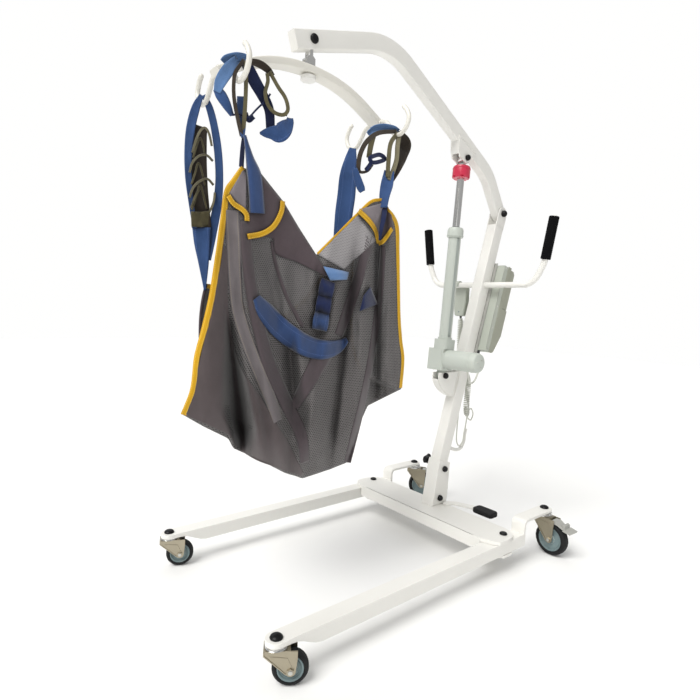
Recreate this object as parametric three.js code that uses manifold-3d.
// Mobile patient hoist with a four-point spreader bar and a hanging mesh sling.
// Millimetres, +Z up, floor at z = 0. The leg tips point along -Y ("front") and the attendant
// stands on the +Y side ("rear"). Piece names call the +X side right or near, the -X side left or far.
// The pieces are drawn in the hoist's own frame, with x = 0 in its middle and the leg pivots on
// the line y = 0. ORIGIN then moves the group, so that the origin is the middle of its box on the floor.
import * as THREE from "three";
import { mergeVertices } from "three/addons/utils/BufferGeometryUtils.js";
import Module from "manifold-3d";

// ---------------------------------------------------------------- driving dimensions
// Points of side parts are (y, z). Plan points are (x, y).
const ORIGIN = [-37.12, 295.47, 0];
const GAP = 0.3; // running gap between neighbouring pieces
const PIN_R = 5; // cross pins and socket bolts
const LEG_X = 292.1;
const LEG_W = 45;
const LEG_BOTTOM = 61.3;
const LEG_TOP = 98.2;
const LEG_PIVOT_X = 290.3;
const LEG_BOLT_R = 7;
const BEAM_BOTTOM = 70.6;
const BEAM_TOP = 109.6;
const BEAM_FRONT = -82;
const BEAM_REAR = 45;
const PEDAL_SHAFT = [40, 38];
const PEDAL_SHAFT_R = 6;
const FRONT_CASTOR = [293.6, -792];
const REAR_CASTOR = [290.6, 226.8];
const CASTOR_STEM_R = 6;
const ARM_BOTTOM = 133.2; // raised arm over the rear castor
const ARM_TOP = 141.2;
const TONGUE_BOTTOM = 87; // underside of the leg tongue over the front castor
const MAST_W = 40;
const MAST_D = 47;
const MAST_REF = [39.6, 276]; // zero point of the mast frame
const MAST_BOTTOM = -38; // along the mast from MAST_REF
const BOOM_PIVOT = [283, 1124];
const BOOM_BOLT_R = 6;
const BOOM_W = 30;
const BOOM_D = 46;
const HANGER_PIN = [-559, 1433];
const SPREADER_Y = -562;
const SPREADER_HALF = 236; // from the swivel to each hook rod
const SPREADER_Z = 1359;
const SPREADER_W = 42;
const SPREADER_H = 18;
const SWIVEL_R = 6;
const HOOK_X = 92;
const HOOK_Z = 1238;
const HOOK_ROD_R = 6;
const HOOK_ROD_Z = 1288; // where the rod passes through the spreader
const FOOT_PIN = [20, 552]; // actuator pin on the mast
const LUG_PIN = [65, 1274]; // actuator pin under the boom
const BAR_Y = 206;
const BAR_Z = 866;
const BAR_R = 9.5;

// ---------------------------------------------------------------- materials
// [colour, roughness, metalness]
const LOOKS = {
  white: ["#f1f0ea", 0.45, 0.05],
  chrome: ["#d9d9d4", 0.2, 1],
  plated: ["#c9c2a6", 0.35, 0.9],
  black: ["#18181a", 0.6, 0],
  grey: ["#cfd5cb", 0.55, 0],
  disc: ["#7f9a99", 0.5, 0],
  tyre: ["#141416", 0.75, 0],
  red: ["#d23a5a", 0.5, 0],
  pedal: ["#9b9d93", 0.6, 0],
  box: ["#c9ccbf", 0.6, 0],
  mesh: ["#6b6166", 0.9, 0],
  blue: ["#46639f", 0.85, 0],
  lightBlue: ["#7fa3cf", 0.85, 0],
};

// ---------------------------------------------------------------- solids and meshes
const WELD = 1e-3; // vertices closer than this become one
const wasm = await Module();
wasm.setup();
const root = new THREE.Group();
const hoist = new THREE.Group();
hoist.position.set(...ORIGIN);
root.add(hoist);

// three.js geometry -> closed solid for joining and cutting
function solid(geometry) {
  const bare = geometry.index ? geometry.toNonIndexed() : geometry.clone();
  bare.deleteAttribute("normal");
  bare.deleteAttribute("uv");
  const welded = mergeVertices(bare, WELD);
  return new wasm.Manifold(new wasm.Mesh({
    numProp: 3,
    vertProperties: welded.attributes.position.array,
    triVerts: new Uint32Array(welded.index.array),
  }));
}

// closed solid -> three.js geometry
function geometryOf(shape) {
  const { numVert, numProp, vertProperties, triVerts } = shape.getMesh();
  const positions = new Float32Array(numVert * 3);
  for (let i = 0; i < numVert; i++) {
    positions.set(vertProperties.subarray(i * numProp, i * numProp + 3), i * 3);
  }
  const geometry = new THREE.BufferGeometry();
  geometry.setAttribute("position", new THREE.BufferAttribute(positions, 3));
  geometry.setIndex(new THREE.BufferAttribute(new Uint32Array(triVerts), 1));
  geometry.computeVertexNormals();
  return geometry;
}

function addPiece(name, shape, look, parent = hoist) {
  const [color, roughness, metalness] = LOOKS[look];
  const material = new THREE.MeshStandardMaterial({ color, roughness, metalness });
  const mesh = new THREE.Mesh(geometryOf(shape), material);
  mesh.name = name;
  parent.add(mesh);
}

const join = (...solids) => solids.reduce((a, b) => a.add(b));
const cut = (body, ...tools) => tools.reduce((a, b) => a.subtract(b), body);

// ---------------------------------------------------------------- outlines
const toVectors = (points) => points.map(([a, b]) => new THREE.Vector2(a, b));
const mirrorX = (points) => points.map(([x, y]) => [-x, y]);
// a line from the middle outwards, continued on the negative side
const bothWays = (half) => [...mirrorX(half.filter(([a]) => a > 0).reverse()), ...half];
const counterClockwise = (points) =>
  THREE.ShapeUtils.area(toVectors(points)) < 0 ? [...points].reverse() : points;

// arc points, angles in degrees
const arc = ([a, b], radius, from, to, steps = 8) =>
  Array.from({ length: steps + 1 }, (_, k) => {
    const angle = ((from + ((to - from) * k) / steps) * Math.PI) / 180;
    return [a + radius * Math.cos(angle), b + radius * Math.sin(angle)];
  });

// polyline with rounded corners: points [a, b, radius]
function rounded(points, steps) {
  const vectors = toVectors(points);
  return points.flatMap(([a, b, radius], i) => {
    if (!radius) return [[a, b]];
    const corner = vectors[i];
    const back = vectors[i - 1].clone().sub(corner).normalize();
    const ahead = vectors[i + 1].clone().sub(corner).normalize();
    const half = Math.acos(THREE.MathUtils.clamp(back.dot(ahead), -1, 1)) / 2;
    const setback = radius / Math.tan(half);
    const start = corner.clone().addScaledVector(back, setback);
    const end = corner.clone().addScaledVector(ahead, setback);
    const bisector = back.clone().add(ahead).normalize();
    const centre = corner.clone().addScaledVector(bisector, radius / Math.sin(half));
    const from = Math.atan2(start.y - centre.y, start.x - centre.x);
    let sweep = Math.atan2(end.y - centre.y, end.x - centre.x) - from;
    if (sweep > Math.PI) sweep -= 2 * Math.PI;
    if (sweep < -Math.PI) sweep += 2 * Math.PI;
    return Array.from({ length: steps + 1 }, (_, k) => {
      const angle = from + (sweep * k) / steps;
      return [centre.x + radius * Math.cos(angle), centre.y + radius * Math.sin(angle)];
    });
  });
}

// outline of a bar about a centreline
function ribbon(line, halfDepth) {
  const left = [];
  const right = [];
  line.forEach(([a, b], i) => {
    const before = line[Math.max(0, i - 1)];
    const after = line[Math.min(line.length - 1, i + 1)];
    const along = new THREE.Vector2(after[0] - before[0], after[1] - before[1]).normalize();
    left.push([a - along.y * halfDepth, b + along.x * halfDepth]);
    right.push([a + along.y * halfDepth, b - along.x * halfDepth]);
  });
  return [...left, ...right.reverse()];
}

// ---------------------------------------------------------------- basic shapes
const box = (x0, x1, y0, y1, z0, z1) =>
  solid(new THREE.BoxGeometry(x1 - x0, y1 - y0, z1 - z0)
    .translate((x0 + x1) / 2, (y0 + y1) / 2, (z0 + z1) / 2));
const cylinderZ = (radius, z0, z1, x = 0, y = 0, sides = 24) =>
  solid(new THREE.CylinderGeometry(radius, radius, z1 - z0, sides)
    .rotateX(Math.PI / 2).translate(x, y, (z0 + z1) / 2));
const cylinderX = (radius, x0, x1, y, z, sides = 24) =>
  solid(new THREE.CylinderGeometry(radius, radius, x1 - x0, sides)
    .rotateZ(Math.PI / 2).translate((x0 + x1) / 2, y, z));
// clearance hole for a cross pin at (y, z)
const boreX = (pinRadius, at, sides = 16) => cylinderX(pinRadius + GAP, -30, 30, ...at, sides);

// polygon drawn out along an axis
function prism(points, from, to, bevel, axes) {
  const shape = new THREE.Shape(toVectors(counterClockwise(points)));
  const geometry = new THREE.ExtrudeGeometry(shape, {
    depth: to - from - 2 * bevel,
    steps: 1,
    curveSegments: 1,
    bevelEnabled: bevel > 0,
    bevelThickness: bevel,
    bevelSize: bevel,
    bevelOffset: -bevel,
    bevelSegments: 1,
  });
  geometry.translate(0, 0, from + bevel);
  return solid(geometry.applyMatrix4(new THREE.Matrix4().makeBasis(...axes)));
}
const X = new THREE.Vector3(1, 0, 0);
const Y = new THREE.Vector3(0, 1, 0);
const Z = new THREE.Vector3(0, 0, 1);
const prismX = (yz, x0, x1, bevel = 0) => prism(yz, x0, x1, bevel, [Y, Z, X]);
const prismY = (zx, y0, y1, bevel = 0) => prism(zx, y0, y1, bevel, [Z, X, Y]);
const prismZ = (xy, z0, z1, bevel = 0) => prism(xy, z0, z1, bevel, [X, Y, Z]);
// (y, z) polygon drawn out evenly on both sides of x = 0
const slab = (yz, halfWidth, bevel = 0) => prismX(yz, -halfWidth, halfWidth, bevel);

// solid of revolution about Z from (radius, height) pairs
// that start and end on the axis or close on themselves
const turned = (profile, sides = 28) =>
  solid(new THREE.LatheGeometry(toVectors(profile), sides).rotateX(Math.PI / 2));

// round rod along points
function rod(points, radius, sides, steps) {
  const vectors = points.map((point) => new THREE.Vector3(...point));
  const extrudePath = new THREE.CatmullRomCurve3(vectors, false, "catmullrom", 0.5);
  const section = Array.from({ length: sides }, (_, i) => {
    const angle = (i / sides) * 2 * Math.PI;
    return new THREE.Vector2(radius * Math.cos(angle), radius * Math.sin(angle));
  });
  const options = { steps, curveSegments: 1, bevelEnabled: false, extrudePath };
  return solid(new THREE.ExtrudeGeometry(new THREE.Shape(section), options));
}

// cross pin at (y, z) with a turned cap on each end, starting at x = +-face
function cappedPin({ at, radius, half, face, cap, sides = 16, capSides = 18 }) {
  const caps = [1, -1].map((side) =>
    turned(cap, capSides).rotate([0, 90 * side, 0]).translate([side * face, ...at]));
  return join(cylinderX(radius, -half, half, ...at, sides), ...caps);
}
const domedCap = (radius, height) => [
  [0, 0], [radius, 0], [radius, height * 0.55], [radius * 0.75, height], [0, height * 1.15],
];

// ---------------------------------------------------------------- base: cross-beam
// rounded plates of the beam lie over and under each leg at its pivot; outlines in (x, y)
const TOP_PLATE = [
  [236, -80], [262, -82], [284, -75], [305, -68], [318, -54], [321, -25],
  [318, 4], [306, 27], [284, 40], [262, 45], [236, 43],
];
const UNDER_PLATE = [
  [236, -50], [262, -52], [300, -46], [317, -30], [317, 12], [300, 26], [262, 30], [236, 28],
];

function crossbeam() {
  const plan = [
    [-266, BEAM_FRONT], [266, BEAM_FRONT], [266, -10],
    [252, BEAM_REAR], [-252, BEAM_REAR], [-266, -10],
  ];
  const beam = join(
    prismZ(plan, BEAM_BOTTOM, BEAM_TOP, 2),
    ...[TOP_PLATE, mirrorX(TOP_PLATE)].map((plate) => prismZ(plate, 99, BEAM_TOP - 0.2)),
    ...[UNDER_PLATE, mirrorX(UNDER_PLATE)].map((plate) => prismZ(plate, 53, 60.5)),
    box(236, 252, -48, 28, 59, 72), // risers down to the under plates
    box(-252, -236, -48, 28, 59, 72),
  );
  return cut(
    beam,
    ...[1, -1].map((side) => cylinderZ(LEG_BOLT_R + GAP, 40, 130, side * LEG_PIVOT_X, 0)),
    cylinderZ(PEDAL_SHAFT_R + GAP, 95, 125, ...PEDAL_SHAFT, 16),
  );
}
addPiece("base_crossbeam", crossbeam(), "white");

// ---------------------------------------------------------------- legs
// side view (y, z): front tongue, tube, and raised arm at the rear
const LEG_PROFILE = [
  [-816, TONGUE_BOTTOM], [-768, TONGUE_BOTTOM], [-752, 85.5], [-738, 80.5], [-722, 72],
  [-706, 65], [-688, LEG_BOTTOM], [83, LEG_BOTTOM], [83, 122], [85, 129], [92, ARM_BOTTOM],
  [250, ARM_BOTTOM], [250, ARM_TOP], [96, ARM_TOP], [84, 138.5], [77, 131], [75, 121],
  [75, LEG_TOP], [-816, LEG_TOP],
];

function rightLeg() {
  const half = LEG_W / 2;
  const plan = [
    ...arc([LEG_X, FRONT_CASTOR[1]], half, 180, 360, 12),
    ...arc([LEG_X, REAR_CASTOR[1]], half, 0, 180, 12),
  ];
  return cut(
    prismX(LEG_PROFILE, LEG_X - half, LEG_X + half).intersect(prismZ(plan, 40, 160)),
    cylinderZ(LEG_BOLT_R + GAP, 40, 120, LEG_PIVOT_X, 0),
    cylinderZ(CASTOR_STEM_R + GAP, 60, 120, ...FRONT_CASTOR, 16),
    cylinderZ(CASTOR_STEM_R + GAP, 120, 150, ...REAR_CASTOR, 16),
  );
}
addPiece("leg_right", rightLeg(), "white");
addPiece("leg_left", rightLeg().mirror([1, 0, 0]), "white");

// pivot bolt with a cap over the plate and a nut under it
function legBolt(x) {
  const capBase = BEAM_TOP + GAP;
  const cap = [[0, capBase], [11.5, capBase], [11.5, 113], [9, 115.6], [0, 116.4]];
  return join(
    cylinderZ(LEG_BOLT_R, 48, 112, x, 0),
    turned(cap, 20).translate([x, 0, 0]),
    cylinderZ(11, 44.5, 52.6, x, 0, 6),
  );
}
addPiece("leg_bolt_right", legBolt(LEG_PIVOT_X), "black");
addPiece("leg_bolt_left", legBolt(-LEG_PIVOT_X), "black");

// ---------------------------------------------------------------- mast frame
const MAST_RUN = BOOM_PIVOT[0] - MAST_REF[0];
const MAST_RISE = BOOM_PIVOT[1] - MAST_REF[1];
const MAST_LENGTH = Math.hypot(MAST_RUN, MAST_RISE);
const MAST_LEAN = (Math.atan2(MAST_RUN, MAST_RISE) * 180) / Math.PI; // degrees, rearward
const MAST_UP = [MAST_RUN / MAST_LENGTH, MAST_RISE / MAST_LENGTH];
// (along the mast, rearward from its centreline) -> (y, z)
const onMast = (along, rearward) => [
  MAST_REF[0] + MAST_UP[0] * along + MAST_UP[1] * rearward,
  MAST_REF[1] + MAST_UP[1] * along - MAST_UP[0] * rearward,
];
const mastRectangle = (along0, along1, rear0, rear1) => [
  onMast(along0, rear0), onMast(along0, rear1), onMast(along1, rear1), onMast(along1, rear0),
];

// ---------------------------------------------------------------- mast socket and mast
const SOCKET_HALF = 25;
const SOCKET_BOLTS = { upper: [33, 232], lower: [16, 134] };
const LOCK_KNOB = [18, 250];
const KNOB_SHAFT_R = 4;
const STUB = [[18, 250], [46, 242], [31, 120], [3, 124]]; // narrow foot of the mast
const STUB_HALF = 16;

// moves each point outwards in y and in z, away from the mean point
function grow(points, amount) {
  const mean = (k) => points.reduce((sum, point) => sum + point[k], 0) / points.length;
  const y0 = mean(0);
  const z0 = mean(1);
  return points.map(([y, z]) => [
    y + Math.sign(y - y0) * amount,
    z + Math.sign(z - z0) * amount,
  ]);
}

function mastSocket() {
  const outline = [
    [-18, 110], [56, 110], [60, 160], [64, 249.5], [9, 265.5], [0.5, 235], [-8, 170],
  ];
  const halfDepth = MAST_D / 2 + GAP;
  return cut(
    slab(outline, SOCKET_HALF, 2),
    slab(mastRectangle(MAST_BOTTOM - 0.5, 40, -halfDepth, halfDepth), MAST_W / 2 + GAP),
    slab(grow(STUB, 0.6), STUB_HALF + 0.5),
    boreX(PIN_R, SOCKET_BOLTS.upper),
    boreX(PIN_R, SOCKET_BOLTS.lower),
    cylinderX(KNOB_SHAFT_R + GAP, -30, -21.5, ...LOCK_KNOB, 12),
  );
}
addPiece("mast_socket", mastSocket(), "white");

// foot clevis for the actuator: side plates and a curved front web, (y, z)
const CLEVIS_HALF = 15.5;
const CLEVIS = [
  [-9, 563], [-10, 548], [-5, 530], [8, 511], [28, 494], [52, 482], [94, 474],
  [112, 520], [112, 563],
];
const CLEVIS_HOLLOW = [
  [-3, 566], [-4, 549], [1, 534], [12, 517], [31, 501], [54, 489], [90, 482], [90, 566],
];

function mastTube() {
  const across = -MAST_LEAN; // direction of the head's first arc point, degrees
  const outline = [
    onMast(MAST_BOTTOM, -MAST_D / 2),
    onMast(MAST_BOTTOM, MAST_D / 2),
    ...arc(BOOM_PIVOT, MAST_D / 2, across, across + 180, 12),
  ];
  const clevis = cut(
    slab(CLEVIS, CLEVIS_HALF),
    slab(CLEVIS_HOLLOW, 11),
    box(-11, 11, -30, 0, 541, 600),
  );
  return cut(
    join(slab(outline, MAST_W / 2), clevis, slab(STUB, STUB_HALF)),
    // slot for the boom between the head plates
    slab(mastRectangle(MAST_LENGTH - 50, MAST_LENGTH + 60, -40, 40), 16.5),
    boreX(BOOM_BOLT_R, BOOM_PIVOT, 20),
    boreX(PIN_R, FOOT_PIN),
    boreX(PIN_R, SOCKET_BOLTS.upper),
    boreX(PIN_R, SOCKET_BOLTS.lower),
    boreX(BAR_R, [BAR_Y, BAR_Z]),
  );
}
addPiece("mast", mastTube(), "white");

for (const [place, at] of Object.entries(SOCKET_BOLTS)) {
  const bolt = cappedPin({
    at,
    radius: PIN_R,
    half: SOCKET_HALF + 1,
    face: SOCKET_HALF + GAP,
    cap: domedCap(10, 10),
  });
  addPiece("socket_bolt_" + place, bolt, "black");
}

// clamping knob on the -X side of the socket: shaft, hub and a short wing
const KNOB_WING = [[6, 240], [30, 240], [35, 262], [29, 269], [10, 258]];
addPiece("mast_lock_knob", join(
  cylinderX(KNOB_SHAFT_R, -34, -22, ...LOCK_KNOB, 12),
  cylinderX(12, -50, -33, ...LOCK_KNOB, 16),
  prismX(KNOB_WING, -47, -38),
), "black");
addPiece("mast_pivot_bolt", cappedPin({
  at: BOOM_PIVOT,
  radius: BOOM_BOLT_R,
  half: MAST_W / 2 + 1,
  face: MAST_W / 2 + GAP,
  cap: domedCap(11.5, 12),
  sides: 20,
}), "black");

// ---------------------------------------------------------------- boom
// centreline from the tip to the mast pivot: y, z, corner radius
const BOOM_LINE = [[-612, 1416.2], [-289, 1519.4, 196], [198, 1249.8, 150], BOOM_PIVOT];
const LUG_HALF = 18;

function boom() {
  const lug = [
    [20, 1335], [22, 1290], [30, 1268], ...arc(LUG_PIN, 18, 225, 350, 7), [98, 1292], [112, 1300],
  ];
  const lugHollow = [[27, 1296], [36, 1240], [150, 1240], [150, 1296]];
  const [hangerY, hangerZ] = HANGER_PIN;
  return cut(
    join(
      slab(ribbon(rounded(BOOM_LINE, 8), BOOM_D / 2), BOOM_W / 2, 3),
      cylinderX(BOOM_D / 2, -BOOM_W / 2, BOOM_W / 2, ...BOOM_PIVOT),
      cut(slab(lug, LUG_HALF), slab(lugHollow, 13)),
    ),
    boreX(BOOM_BOLT_R, BOOM_PIVOT, 20),
    boreX(PIN_R, LUG_PIN),
    boreX(PIN_R, HANGER_PIN),
    box(-12.5, 12.5, hangerY - 38, hangerY + 38, 1380, hangerZ + 15), // opening for the hanger
  );
}
addPiece("boom", boom(), "white");
addPiece("actuator_top_pin", cappedPin({
  at: LUG_PIN,
  radius: PIN_R,
  half: 20,
  face: LUG_HALF + GAP,
  cap: [[0, 0], [9.5, 0], [9.5, 6.5], [7, 10], [0, 11.2]],
}), "black");
addPiece("hanger_pin", cappedPin({
  at: HANGER_PIN,
  radius: PIN_R,
  half: 17,
  face: BOOM_W / 2 + GAP,
  cap: [[0, 0], [12, 0], [12, 4], [9, 7], [0, 8]],
  capSides: 20,
}), "black");

// ---------------------------------------------------------------- hanger, swivel and spreader bar
function hangerLink() {
  const [y, z] = HANGER_PIN;
  const side = [
    ...arc(HANGER_PIN, 10, 0, 180),
    [y - 7.5, 1420], [y - 7.5, 1394], [y - 15, 1388], [y - 15, 1368.6],
    [y + 9, 1368.6], [y + 9, 1388], [y + 1.5, 1394], [y + 1.5, 1420],
  ];
  return cut(
    slab(side, 11.5),
    box(-7.5, 7.5, y - 40, y + 40, 1380, z + 40),
    boreX(PIN_R, HANGER_PIN),
    cylinderZ(SWIVEL_R + GAP, 1360, 1400, 0, SPREADER_Y, 16),
  );
}
addPiece("hanger_link", hangerLink(), "chrome");

const SWIVEL_FOOT = [ // (radius, z)
  [0, 1335], [18, 1335], [20, 1337], [20, 1345], [12, 1349.4], [0, 1349.4],
];
addPiece("swivel_bolt", join(
  cylinderZ(SWIVEL_R, 1340, 1386, 0, SPREADER_Y, 16),
  cylinderZ(7.2, 1380.4, 1389, 0, SPREADER_Y, 6),
  turned(SWIVEL_FOOT).translate([0, SPREADER_Y, 0]),
), "white");

// centreline of half the bar: distance from the swivel, z
const SPREADER_LINE = [
  [0, SPREADER_Z], [40, 1357.3], [80, 1352], [120, 1342], [160, 1327], [200, 1307],
  [SPREADER_HALF + 14, 1280],
];
const FRONT_HOOK_Y = SPREADER_Y - SPREADER_HALF;
const REAR_HOOK_Y = SPREADER_Y + SPREADER_HALF;

function spreaderBar() {
  const line = bothWays(SPREADER_LINE).map(([y, z]) => [SPREADER_Y + y, z]);
  return cut(
    slab(ribbon(line, SPREADER_H / 2), SPREADER_W / 2, 3),
    cylinderZ(SWIVEL_R + GAP, 1300, 1400, 0, SPREADER_Y, 16),
    ...[FRONT_HOOK_Y, REAR_HOOK_Y].map((y) =>
      cylinderX(HOOK_ROD_R + 0.9, -40, 40, y, HOOK_ROD_Z, 16)),
  );
}
addPiece("spreader_bar", spreaderBar(), "white");

// half of a hook rod, from the bar out to the hook's tip: x, z
const HOOK_LINE = [
  [12, HOOK_ROD_Z], [30, HOOK_ROD_Z], [48, 1279], [66, 1255], [80, 1241.5], [HOOK_X, HOOK_Z],
  [106, 1240.5], [122, 1253], [130, 1275], [122, 1295], [110, 1308],
];
function hookRod(y) {
  return rod(bothWays(HOOK_LINE).map(([x, z]) => [x, y, z]), HOOK_ROD_R, 8, 40);
}
addPiece("hook_rod_front", hookRod(FRONT_HOOK_Y), "white");
addPiece("hook_rod_rear", hookRod(REAR_HOOK_Y), "white");

// ---------------------------------------------------------------- linear actuator
// local frame: +Z from the foot pin to the lug pin
const ACTUATOR_RUN = LUG_PIN[0] - FOOT_PIN[0];
const ACTUATOR_RISE = LUG_PIN[1] - FOOT_PIN[1];
const ACTUATOR_LENGTH = Math.hypot(ACTUATOR_RUN, ACTUATOR_RISE);
const ROD_SHORT = 16; // the rod ends this far below the lug pin
const TUBE_R = 20.3;
const actuator = new THREE.Group();
actuator.position.set(0, ...FOOT_PIN);
actuator.rotation.x = -Math.atan2(ACTUATOR_RUN, ACTUATOR_RISE);
hoist.add(actuator);

// gear housing with the foot eye and the tube clamp
function gearbox() {
  const housing = [[0, -30], [22, -30, 6], [22, 30, 6], [-46, 30, 10], [-46, -30, 10], [0, -30]];
  const clamp = [[0, -27], [27, -27, 10], [27, 27, 10], [-27, 27, 10], [-27, -27, 10], [0, -27]];
  return cut(
    join(
      prismZ(rounded(housing, 3), 18, 90),
      prismZ(rounded(clamp, 3), 89, 122),
      cylinderX(13, -10, 10, 0, 0, 20),
      box(-10, 10, -13, 13, 0, 22),
    ),
    boreX(PIN_R, [0, 0]),
    cylinderZ(TUBE_R + GAP, 95, 130, 0, 0, 28),
  );
}
addPiece("actuator_gearbox", gearbox(), "grey", actuator);

// motor across the housing, towards +X
const MOTOR = [[0, 0], [30.5, 0], [32, 2], [32, 118], [29, 125], [20, 128], [0, 128]];
const motor = turned(MOTOR).rotate([0, 90, 0]).translate([22.3, 0, 56]);
addPiece("actuator_motor", motor, "grey", actuator);

const TUBE = [ // tube with a collar at its upper end
  [13, 96], [TUBE_R, 96], [TUBE_R, 462], [26, 463], [26.5, 466], [26.5, 486], [23.5, 494],
  [13, 494], [13, 96],
];
addPiece("actuator_tube", turned(TUBE), "grey", actuator);
addPiece("actuator_rod", cylinderZ(12, 205, ACTUATOR_LENGTH - ROD_SHORT), "chrome", actuator);

// notched quick-release ring round the rod
function releaseRing() {
  const profile = [
    [12.4, 658], [27, 658], [29, 662], [29, 692], [27, 697], [12.4, 697], [12.4, 658],
  ];
  const notches = Array.from({ length: 6 }, (_, k) => {
    const angle = (k * Math.PI) / 3 + 0.3;
    return cylinderZ(5.5, 640, 664, 29 * Math.cos(angle), 29 * Math.sin(angle), 10);
  });
  return cut(turned(profile), ...notches);
}
addPiece("release_ring", releaseRing(), "red", actuator);
addPiece("actuator_foot_pin", cappedPin({
  at: FOOT_PIN,
  radius: PIN_R,
  half: 17,
  face: CLEVIS_HALF + GAP,
  cap: [[0, 0], [10, 0], [10, 6.5], [7.2, 10], [0, 11.2]],
}), "black");

// ---------------------------------------------------------------- handlebar and grips
// half of the bar, from the mast outwards: x, z, corner radius
const BAR_LINE = [[0, BAR_Z], [208, BAR_Z, 58], [243, 950], [262, 1074]];
const barPath = bothWays(rounded(BAR_LINE, 7)).map(([x, z]) => [x, BAR_Y, z]);
addPiece("handlebar", rod(barPath, BAR_R, 10, 44), "white");

function grip(side) {
  const [startX, startZ] = [243, 948];
  const run = 262.6 - startX;
  const rise = 1080 - startZ;
  const length = Math.hypot(run, rise);
  const profile = [
    [0, 0], [14, 0], [15.5, 3], [15.5, length - 4], [13, length], [0, length],
  ];
  const tilt = (Math.atan2(run * side, rise) * 180) / Math.PI;
  const hollowLine = [[231, 905], [243, 950], [262, 1074], [262.15, 1075]];
  const hollowPath = hollowLine.map(([x, z]) => [x * side, BAR_Y, z]);
  return turned(profile, 20)
    .rotate([0, tilt, 0])
    .translate([startX * side, BAR_Y, startZ])
    .subtract(rod(hollowPath, BAR_R + 1.6, 10, 14));
}
addPiece("grip_right", grip(1), "black");
addPiece("grip_left", grip(-1), "black");

// ---------------------------------------------------------------- control box and battery
// outlines in (along the mast, rearward from its rear face)
const CONTROL_BOX = [
  [385, 4], [697, 4], [697, 42], [548, 42], [548, 70], [455, 70], [392, 46], [385, 36],
];
const BATTERY = [[548.6, 42.6], [694, 42.6], [694, 64], [684, 73], [548.6, 73]];
const STOP_BUTTON = [ // (radius, height)
  [0, -3], [8, -3], [8, 5], [14, 6], [14, 12], [11, 16], [0, 17],
];
const behindMast = ([along, rearward]) => onMast(along, MAST_D / 2 + rearward);
const stopAt = behindMast([500, 70.4]);
// stands a shape on the rear of the control box, its +Z pointing rearward
const placeStop = (shape) => shape.rotate([-90 - MAST_LEAN, 0, 0]).translate([0, ...stopAt]);

const mountPlate = mastRectangle(372, 704, MAST_D / 2 + GAP, MAST_D / 2 + 3.5);
addPiece("mount_plate", slab(mountPlate, 30), "black");
const controlBox = slab(CONTROL_BOX.map(behindMast), 62, 3);
addPiece("control_box", cut(controlBox, placeStop(cylinderZ(8.5, -9, 4, 0, 0, 20))), "box");
addPiece("battery_pack", slab(BATTERY.map(behindMast), 61, 3), "box");
addPiece("emergency_stop", placeStop(turned(STOP_BUTTON, 20)), "red");

// ---------------------------------------------------------------- handset
const HANDSET_X = -100;
const HANDSET_FRONT = 217.5;
const HANDSET_REAR = 241;
const KEY_HALF = 12;
const KEYS = { up: [819, 843], down: [786, 810] }; // z range of each key
const HANDSET_OUTLINE = [ // z, x from the middle, corner radius
  [862, 0], [862, 28, 9], [800, 28, 30], [752, 21, 9],
  [752, -21, 9], [800, -28, 30], [862, -28, 9], [862, 0],
];

function keyBlock([z0, z1], margin, depth, height) {
  const half = KEY_HALF + margin;
  return box(HANDSET_X - half, HANDSET_X + half, HANDSET_REAR - depth, HANDSET_REAR + height,
    z0 - margin, z1 + margin);
}

// pendant body hung over the handlebar by its clip
function handset() {
  const outline = HANDSET_OUTLINE.map(([z, x, radius]) => [z, HANDSET_X + x, radius]);
  const body = cut(
    prismY(rounded(outline, 3), HANDSET_FRONT, HANDSET_REAR, 3),
    ...Object.values(KEYS).map((range) => keyBlock(range, GAP, 3, 10)),
  );
  const left = HANDSET_X - 9;
  const right = HANDSET_X + 9;
  const bar = [BAR_Y, BAR_Z];
  const clip = [...arc(bar, 15, -35, 205, 12), ...arc(bar, 10.6, 205, -35, 12)];
  const neck = cut(
    box(left, right, HANDSET_FRONT + 0.5, HANDSET_FRONT + 5, 850, 867),
    cylinderX(10.6, left - 3, right + 3, ...bar),
  );
  return join(body, prismX(clip, left, right), neck);
}
addPiece("handset", handset(), "grey");
for (const [key, range] of Object.entries(KEYS)) {
  addPiece("handset_key_" + key, keyBlock(range, 0, 1.5, 2), "black");
}

// ---------------------------------------------------------------- cable hook
// curved hook on the rear of the mast, starting just behind the centreline at z = 300
const cableStartY = MAST_REF[0] + ((300 - MAST_REF[1]) * MAST_RUN) / MAST_RISE + 28;
const CABLE_HOOK = [
  [0, cableStartY, 300], [0, 96, 288], [0, 126, 279], [0, 150, 284], [0, 164, 305],
  [0, 168, 335], [0, 172, 350],
];
addPiece("cable_hook", rod(CABLE_HOOK, 6, 8, 24), "white");

// ---------------------------------------------------------------- leg-spreading pedal
const PEDAL_LEVER = [ // (x, y)
  [32, 28], [48, 28], [60, 52], [124, 76], [132, 98], [112, 98], [52, 74], [30, 52],
];
const PEDAL_PAD = [ // x, y, corner radius
  [160, 66], [200, 66, 11], [200, 108, 11], [123, 108, 11], [123, 66, 11], [160, 66],
];
const PAD_NOTCH = [[100, 62], [124.3, 75.7], [132.4, 98.4], [100, 99]]; // room for the lever
addPiece("pedal_lever", join(
  cylinderZ(PEDAL_SHAFT_R, 98, 116, ...PEDAL_SHAFT, 16),
  prismZ(PEDAL_LEVER, 110.5, 117),
), "white");
addPiece("pedal_pad", cut(
  prismZ(rounded(PEDAL_PAD, 3), 106, 123, 3),
  prismZ(PAD_NOTCH, 110.2, 117.3),
), "black");

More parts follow.
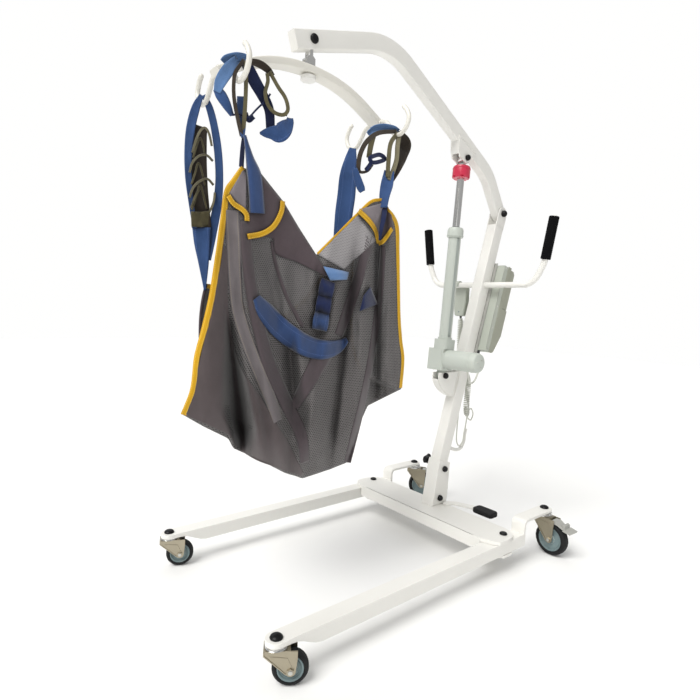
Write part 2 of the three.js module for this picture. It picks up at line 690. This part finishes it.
// ---------------------------------------------------------------- castors
// local frame: swivel axis on z, trail along +Y
const AXLE_R = 5;
const CAP_R = 12;
const BRAKE_PIN = [40, 111];
const SMALL = {
  radius: 37.5, width: 24, trail: 30, crown: 80, plateFront: -25, plateRear: 44, headR: 19,
  headTop: TONGUE_BOTTOM, stemTop: LEG_TOP,
};
const LARGE = {
  radius: 52, width: 30, trail: 34, crown: 118, plateFront: -26, plateRear: 48, headR: 21,
  headTop: ARM_BOTTOM, stemTop: ARM_TOP, brake: true,
};

function castorFork(size) {
  const { radius, width, trail, crown, plateFront, plateRear, headR, headTop, stemTop } = size;
  const inner = width / 2 + 3;
  const outer = inner + 3;
  const plate = [ // side plates narrow down to the axle
    [plateFront, crown], [plateFront, crown - 8], ...arc([trail, radius], 11, 215, 350, 6),
    [plateRear, crown - 16], [plateRear, crown],
  ];
  const bridgeRear = Math.min(plateRear, 30);
  const head = [
    [0, crown], [headR, crown], [headR + 1, (crown + headTop) / 2],
    [headR - 3, headTop - GAP], [0, headTop - GAP],
  ];
  const cap = [
    [0, stemTop + GAP], [CAP_R, stemTop + GAP], [CAP_R, stemTop + 3],
    [CAP_R - 3, stemTop + 6], [0, stemTop + 7],
  ];
  const fork = join(
    prismX(plate, -outer, -inner),
    prismX(plate, inner, outer),
    box(-outer, outer, plateFront, bridgeRear, crown - 3, crown + 1),
    turned(head, 24),
    cylinderZ(CASTOR_STEM_R, crown, stemTop + 1, 0, 0, 16),
    turned(cap, 20),
    cylinderX(AXLE_R, -outer - 3, outer + 3, trail, radius, 16),
    cylinderX(8, -outer - 4, -outer + 0.5, trail, radius, 6),
    cylinderX(8, outer - 0.5, outer + 4, trail, radius, 6),
  );
  if (!size.brake) return fork;
  return fork.add(cylinderX(2.5, -outer - 1, outer + 1, ...BRAKE_PIN, 12));
}

// ring about the axle; half profile as (radius, inset from the wheel's side)
function wheelRing({ radius, width, trail }, half, sides) {
  const low = half.map(([r, inset]) => [r, inset - width / 2]);
  const high = half.map(([r, inset]) => [r, width / 2 - inset]).reverse();
  const ring = turned([...low, ...high, low[0]], sides);
  return ring.rotate([0, 90, 0]).translate([0, trail, radius]);
}

function brakePedal() {
  const tread = [[78, 95.5], [104, 91.5], [107, 96.5], [84, 101.5]];
  const lever = [
    ...arc(BRAKE_PIN, 5.5, 90, 270, 6), [57, 104.5], [66, 100.5], ...tread,
    [83, 111], [78, 114.5], [74.5, 113], [76, 104], [66, 107.5], [52, 116.5],
  ];
  return cut(join(slab(lever, 15), slab(tread, 21)), cylinderX(2.9, -30, 30, ...BRAKE_PIN, 12));
}

function castor(tag, [x, y], turn, size) {
  const group = new THREE.Group();
  group.position.set(x, y, 0);
  group.rotation.z = (turn * Math.PI) / 180;
  hoist.add(group);
  const { radius, width } = size;
  const rim = radius * 0.74;
  const disc = [[AXLE_R + GAP, 1], [14, 1], [16, 5], [rim - 6, 5], [rim - 3, 1], [rim, 1]];
  const tyre = [[rim + 0.6, 1], [radius - 5, 0], [radius - 1.2, 3.5], [radius, width / 4]];
  addPiece("castor_fork_" + tag, castorFork(size), "plated", group);
  addPiece("castor_disc_" + tag, wheelRing(size, disc, 20), "disc", group);
  addPiece("castor_tyre_" + tag, wheelRing(size, tyre, 24), "tyre", group);
  if (size.brake) addPiece("castor_brake_" + tag, brakePedal(), "pedal", group);
}
castor("front_right", FRONT_CASTOR, -33, SMALL);
castor("front_left", [-FRONT_CASTOR[0], FRONT_CASTOR[1]], -22, SMALL);
castor("rear_right", REAR_CASTOR, -92, LARGE);
castor("rear_left", [-REAR_CASTOR[0], REAR_CASTOR[1]], -50, LARGE);

// ---------------------------------------------------------------- sling (plain soft solids)
const SLING_FAR = -92;
const SLING_FAR_INNER = -85;
const SLING_NEAR = 104;
const HANDLE_X = SLING_NEAR + 0.6;
const SLING_SIDE = [ // side view of the hammock (y, z)
  [-790, 1062], [-838, 1000], [-852, 887], [-876, 740], [-905, 560], [-912, 530], [-780, 440],
  [-640, 352], [-560, 335], [-462, 352], [-400, 470], [-262, 545], [-262, 600], [-300, 950],
  [-345, 1030], [-382, 1058], [-440, 990], [-530, 865], [-600, 915], [-690, 1015],
];
const SLING_HOLLOW = [ // (z, x); above z = 560 it opens the -X side
  [430, SLING_FAR_INNER], [362, -40], [352, 10], [372, 60], [440, 90], [1200, 97],
  [1200, -200], [560, -200], [560, SLING_FAR_INNER],
];
const SLING_FLAPS = [ // (y, z); they rise on the open -X side
  [[-880, 420], [-640, 420], [-770, 880], [-850, 880]],
  [[-560, 420], [-320, 420], [-330, 880], [-430, 880]],
];

function slingBody() {
  const farWall = (outline) => prismX(outline, SLING_FAR, SLING_FAR_INNER);
  const shell = prismX(SLING_SIDE, SLING_FAR, SLING_NEAR);
  return join(
    cut(shell, prismY(SLING_HOLLOW, -1100, -100)),
    ...SLING_FLAPS.map((flap) => farWall(flap).intersect(farWall(SLING_SIDE))),
  );
}
addPiece("sling_body", slingBody(), "mesh");

// webbing loop over a hook, two tails meeting at the sling
function strap(x, hookY, tailY, tailZ) {
  const halfWidth = 10;
  const inR = 10.2;
  const outR = inR + 4;
  const loop = (radius, drop, tailHalf, z) => [
    [tailY - tailHalf, z], [hookY - radius, HOOK_Z - drop],
    ...arc([hookY, HOOK_Z], radius, 180, 0, 10),
    [hookY + radius, HOOK_Z - drop], [tailY + tailHalf, z],
  ];
  return cut(
    prismX(loop(outR, 30, 14, tailZ), x - halfWidth, x + halfWidth),
    prismX(loop(inR, 32, 6, tailZ + 30), x - halfWidth - 5, x + halfWidth + 5),
  );
}
const STRAPS = [ // name, x, hook y, tail y, tail z, look
  ["front_near", HOOK_X, FRONT_HOOK_Y, -792, 1066, "lightBlue"],
  ["rear_near", HOOK_X, REAR_HOOK_Y, -372, 1062, "lightBlue"],
  ["front_far", -HOOK_X, FRONT_HOOK_Y, -812, 884, "blue"],
  ["rear_far", -HOOK_X, REAR_HOOK_Y, -376, 884, "blue"],
];
for (const [place, x, hookY, tailY, tailZ, look] of STRAPS) {
  addPiece("sling_strap_" + place, strap(x, hookY, tailY, tailZ), look);
}

// carrying handles on the outer +X face
const UPRIGHT_HANDLE = [ // (z, x)
  [705, HANDLE_X], [705, 112], [740, 124], [780, 114], [815, 124], [850, 112], [862, HANDLE_X],
];
const BAND_HANDLE = [ // (y, z)
  [-740, 800], [-700, 745], [-640, 690], [-560, 665], [-480, 690], [-486, 652],
  [-560, 625], [-650, 650], [-715, 700], [-748, 765],
];
addPiece("sling_handle_upright", prismY(UPRIGHT_HANDLE, -565, -515), "blue");
addPiece("sling_handle_band", prismX(BAND_HANDLE, HANDLE_X, 112), "blue");

export default root;
